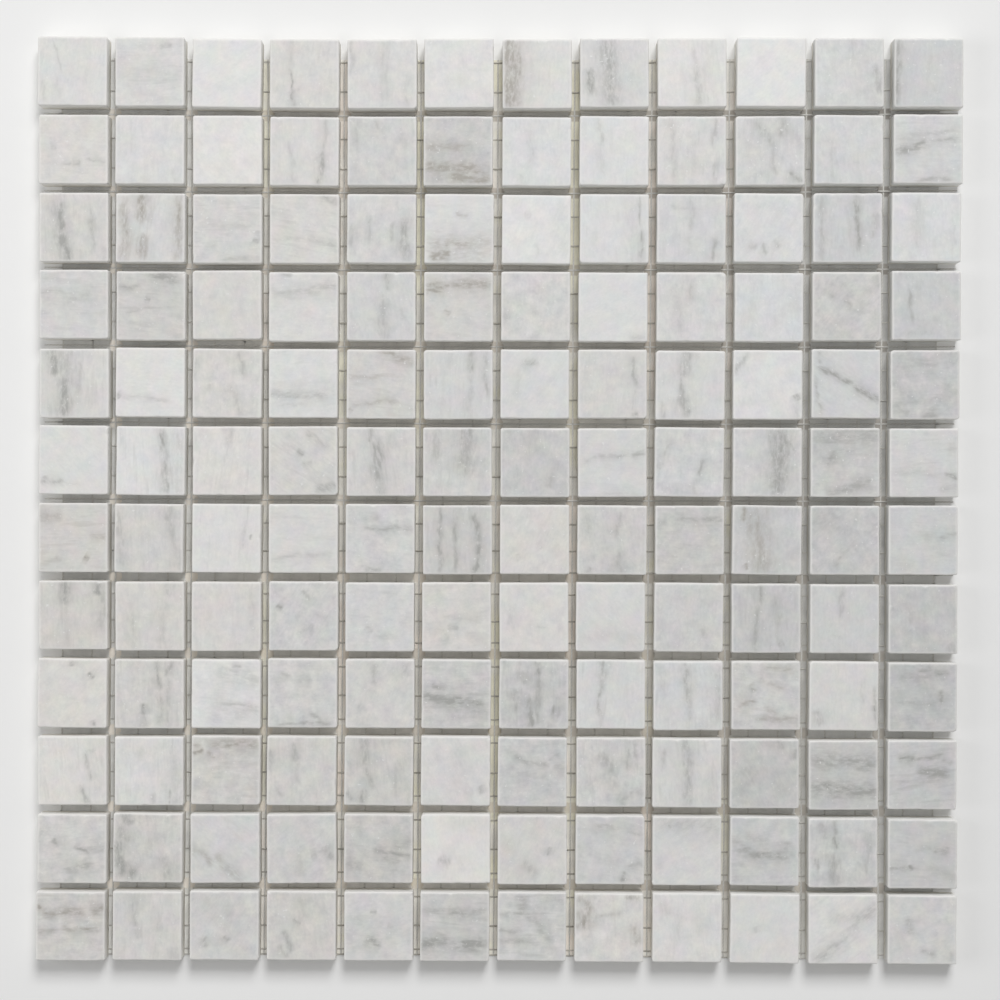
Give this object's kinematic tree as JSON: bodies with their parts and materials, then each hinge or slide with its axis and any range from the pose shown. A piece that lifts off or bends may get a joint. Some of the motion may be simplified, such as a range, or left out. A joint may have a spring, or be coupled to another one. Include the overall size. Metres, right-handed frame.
{
  "type": "mosaic tile sheet",
  "caption": "Flat square sheet of small square veined marble chips in straight rows, glued on a glass-fibre net with open joints.",
  "frame": {"origin": "centre of the sheet's underside, on the surface that the net lies on", "axes": "+X along the rows, +Y from the last row to the first, +Z out of the honed faces"},
  "size_m": [0.3022, 0.3022, 0.0085],
  "materials": {
    "marble": "honed off-white marble with grey-brown veins",
    "net_yarn": "glass-fibre yarn stiffened with dried glue"
  },
  "bodies": {
    "root": {"tile_row_01": "marble", "tile_row_02": "marble", "tile_row_03": "marble", "tile_row_04": "marble", "tile_row_05": "marble", "tile_row_06": "marble", "tile_row_07": "marble", "tile_row_08": "marble", "tile_row_09": "marble", "tile_row_10": "marble", "tile_row_11": "marble", "tile_row_12": "marble", "net_warp_yarns": "net_yarn", "net_weft_yarns": "net_yarn"}
  },
  "joints": []
}
